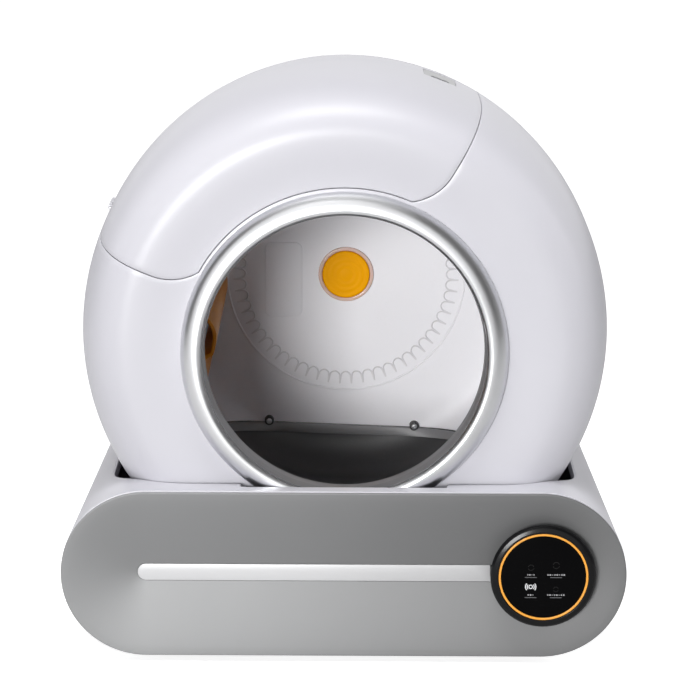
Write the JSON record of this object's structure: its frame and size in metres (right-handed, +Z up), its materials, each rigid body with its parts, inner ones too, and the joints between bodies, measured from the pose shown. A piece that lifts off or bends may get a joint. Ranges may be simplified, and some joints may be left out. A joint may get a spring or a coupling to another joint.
{
  "type": "self cleaning litter box",
  "caption": "Self cleaning litter box: globe housing with a silver entry ring, turning drum with sieve, top hatch, and a base with a waste drawer and round display.",
  "frame": {"origin": "on the floor under the middle of the object's outer box", "axes": "+X to the right seen from the front, +Y from the front plate to the back, +Z up; the drum turns about +Y"},
  "size_m": [0.6, 0.52, 0.617],
  "materials": {
    "shell_white": "satin white moulded shell",
    "drum_white": "matte off-white",
    "plate_grey": "fine matte grey",
    "stripe_white": "satin white",
    "dark_grey": "matte dark grey",
    "silver_ring": "satin silver plating on plastic",
    "lip_grey": "matte grey",
    "amber": "satin amber",
    "amber_light": "lit amber",
    "clear_amber": "frosted translucent",
    "gloss_black": "gloss",
    "rubber": "matte",
    "steel": "bright",
    "board_green": "satin",
    "gear_white": "natural"
  },
  "bodies": {
    "housing": {"base_shell": "shell_white", "cradle": "lip_grey", "control_board": "board_green", "power_inlet": "gloss_black", "foot_front_left": "rubber", "foot_front_right": "rubber", "foot_rear_left": "rubber", "foot_rear_right": "rubber", "roller_axle_left": "steel", "roller_axle_right": "steel", "shell_front": "shell_white", "shell_rear": "shell_white", "rear_cover": "shell_white", "entry_ring": "silver_ring", "entry_lip": "lip_grey", "gear_motor": "dark_grey", "motor_bracket": "steel", "rear_spindle": "steel", "hinge_pin": "steel"},
    "hatch": {"hatch": "shell_white"},
    "latch": {"hatch_latch": "lip_grey"},
    "drum": {"drum_front": "drum_white", "drum_rear": "drum_white", "ring_gear": "gear_white", "hub_cap": "amber", "hub_ring": "clear_amber", "scent_cover": "drum_white", "litter_bed": "dark_grey", "bed_screw_left": "steel", "bed_screw_right": "steel", "sieve": "amber"},
    "pinion": {"drive_pinion": "gear_white"},
    "roller_front_left": {"roller_front_left": "rubber"},
    "roller_rear_left": {"roller_rear_left": "rubber"},
    "roller_front_right": {"roller_front_right": "rubber"},
    "roller_rear_right": {"roller_rear_right": "rubber"},
    "drawer": {"drawer_bin": "lip_grey", "bag_frame": "dark_grey", "fascia": "plate_grey", "stripe": "stripe_white", "display_bezel": "gloss_black", "light_ring": "amber_light", "display_glass": "gloss_black", "display_board": "board_green"}
  },
  "joints": [
    {"name": "drum_spin", "type": "hinge", "parent": "housing", "child": "drum", "pos_m": [0, 0, 0.331], "axis": [0, 1, 0], "continuous": true},
    {"name": "pinion_spin", "type": "hinge", "parent": "housing", "child": "pinion", "pos_m": [0, 0.208, 0.2318], "axis": [0, 1, 0], "continuous": true},
    {"name": "hatch_swing", "type": "hinge", "parent": "housing", "child": "hatch", "pos_m": [-0.2661, 0.075, 0.43743], "axis": [0, -1, 0], "range_deg": [0, 75]},
    {"name": "latch_press", "type": "slide", "parent": "hatch", "child": "latch", "axis": [-0.3584, 0, -0.9336], "range_m": [0, 0.003], "stiffness_N_per_m": 600, "springref_m": -0.001},
    {"name": "drawer_slide", "type": "slide", "parent": "housing", "child": "drawer", "axis": [0, -1, 0], "range_m": [0, 0.32]},
    {"name": "roller_front_left_spin", "type": "hinge", "parent": "housing", "child": "roller_front_left", "pos_m": [-0.19794, -0.121, 0.16505], "axis": [0, 1, 0], "continuous": true},
    {"name": "roller_rear_left_spin", "type": "hinge", "parent": "housing", "child": "roller_rear_left", "pos_m": [-0.19794, 0.064, 0.16505], "axis": [0, 1, 0], "continuous": true},
    {"name": "roller_front_right_spin", "type": "hinge", "parent": "housing", "child": "roller_front_right", "pos_m": [0.19794, -0.121, 0.16505], "axis": [0, 1, 0], "continuous": true},
    {"name": "roller_rear_right_spin", "type": "hinge", "parent": "housing", "child": "roller_rear_right", "pos_m": [0.19794, 0.064, 0.16505], "axis": [0, 1, 0], "continuous": true}
  ],
  "couplings": [
    {"joint": "pinion_spin", "follows": "drum_spin", "ratio": 5},
    {"joint": "roller_front_left_spin", "follows": "drum_spin", "ratio": -20.5},
    {"joint": "roller_rear_left_spin", "follows": "drum_spin", "ratio": -20.5},
    {"joint": "roller_front_right_spin", "follows": "drum_spin", "ratio": -20.5},
    {"joint": "roller_rear_right_spin", "follows": "drum_spin", "ratio": -20.5}
  ]
}
